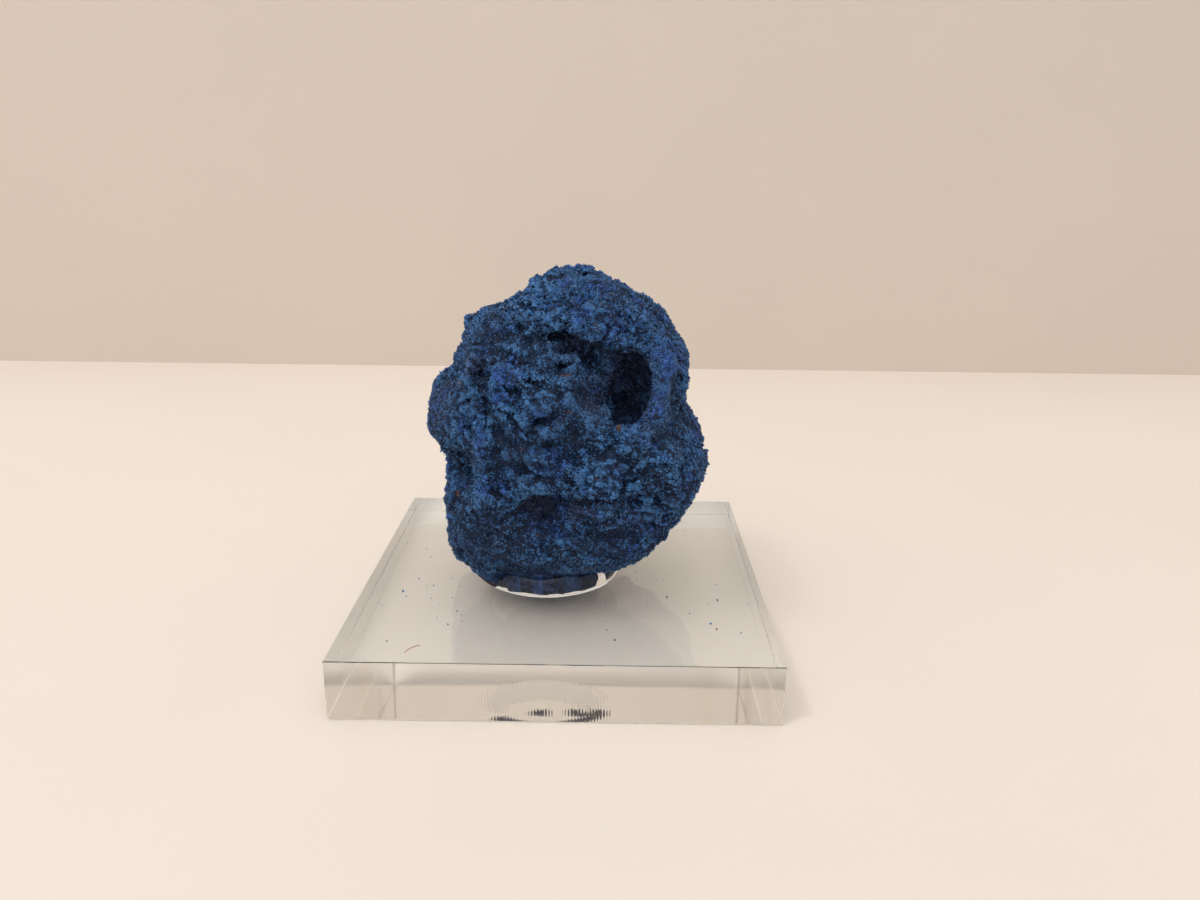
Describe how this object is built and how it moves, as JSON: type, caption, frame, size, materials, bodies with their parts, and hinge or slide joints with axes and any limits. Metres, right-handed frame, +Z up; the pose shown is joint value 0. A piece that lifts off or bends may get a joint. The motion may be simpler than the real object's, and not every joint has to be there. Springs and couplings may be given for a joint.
{
  "type": "azurite specimen",
  "caption": "Rough azurite nodule with an open pocket, stood upright on a clear gel pad on a square clear acrylic base.",
  "frame": {"origin": "centre of the acrylic base's underside", "axes": "+Z up, square to the base; the specimen's front, with its pocket, faces -Y; +X to the right seen from the front"},
  "size_m": [0.0444, 0.0444, 0.0412],
  "materials": {
    "azurite": "velvety crust of very small crystals, dull with tiny glints",
    "clear_gel": "wet-looking clear silicone gel",
    "clear_acrylic": "polished clear acrylic with sawn edges lightly polished"
  },
  "bodies": {
    "root": {"azurite_nodule": "azurite", "mounting_gel": "clear_gel", "acrylic_base": "clear_acrylic"}
  },
  "joints": []
}
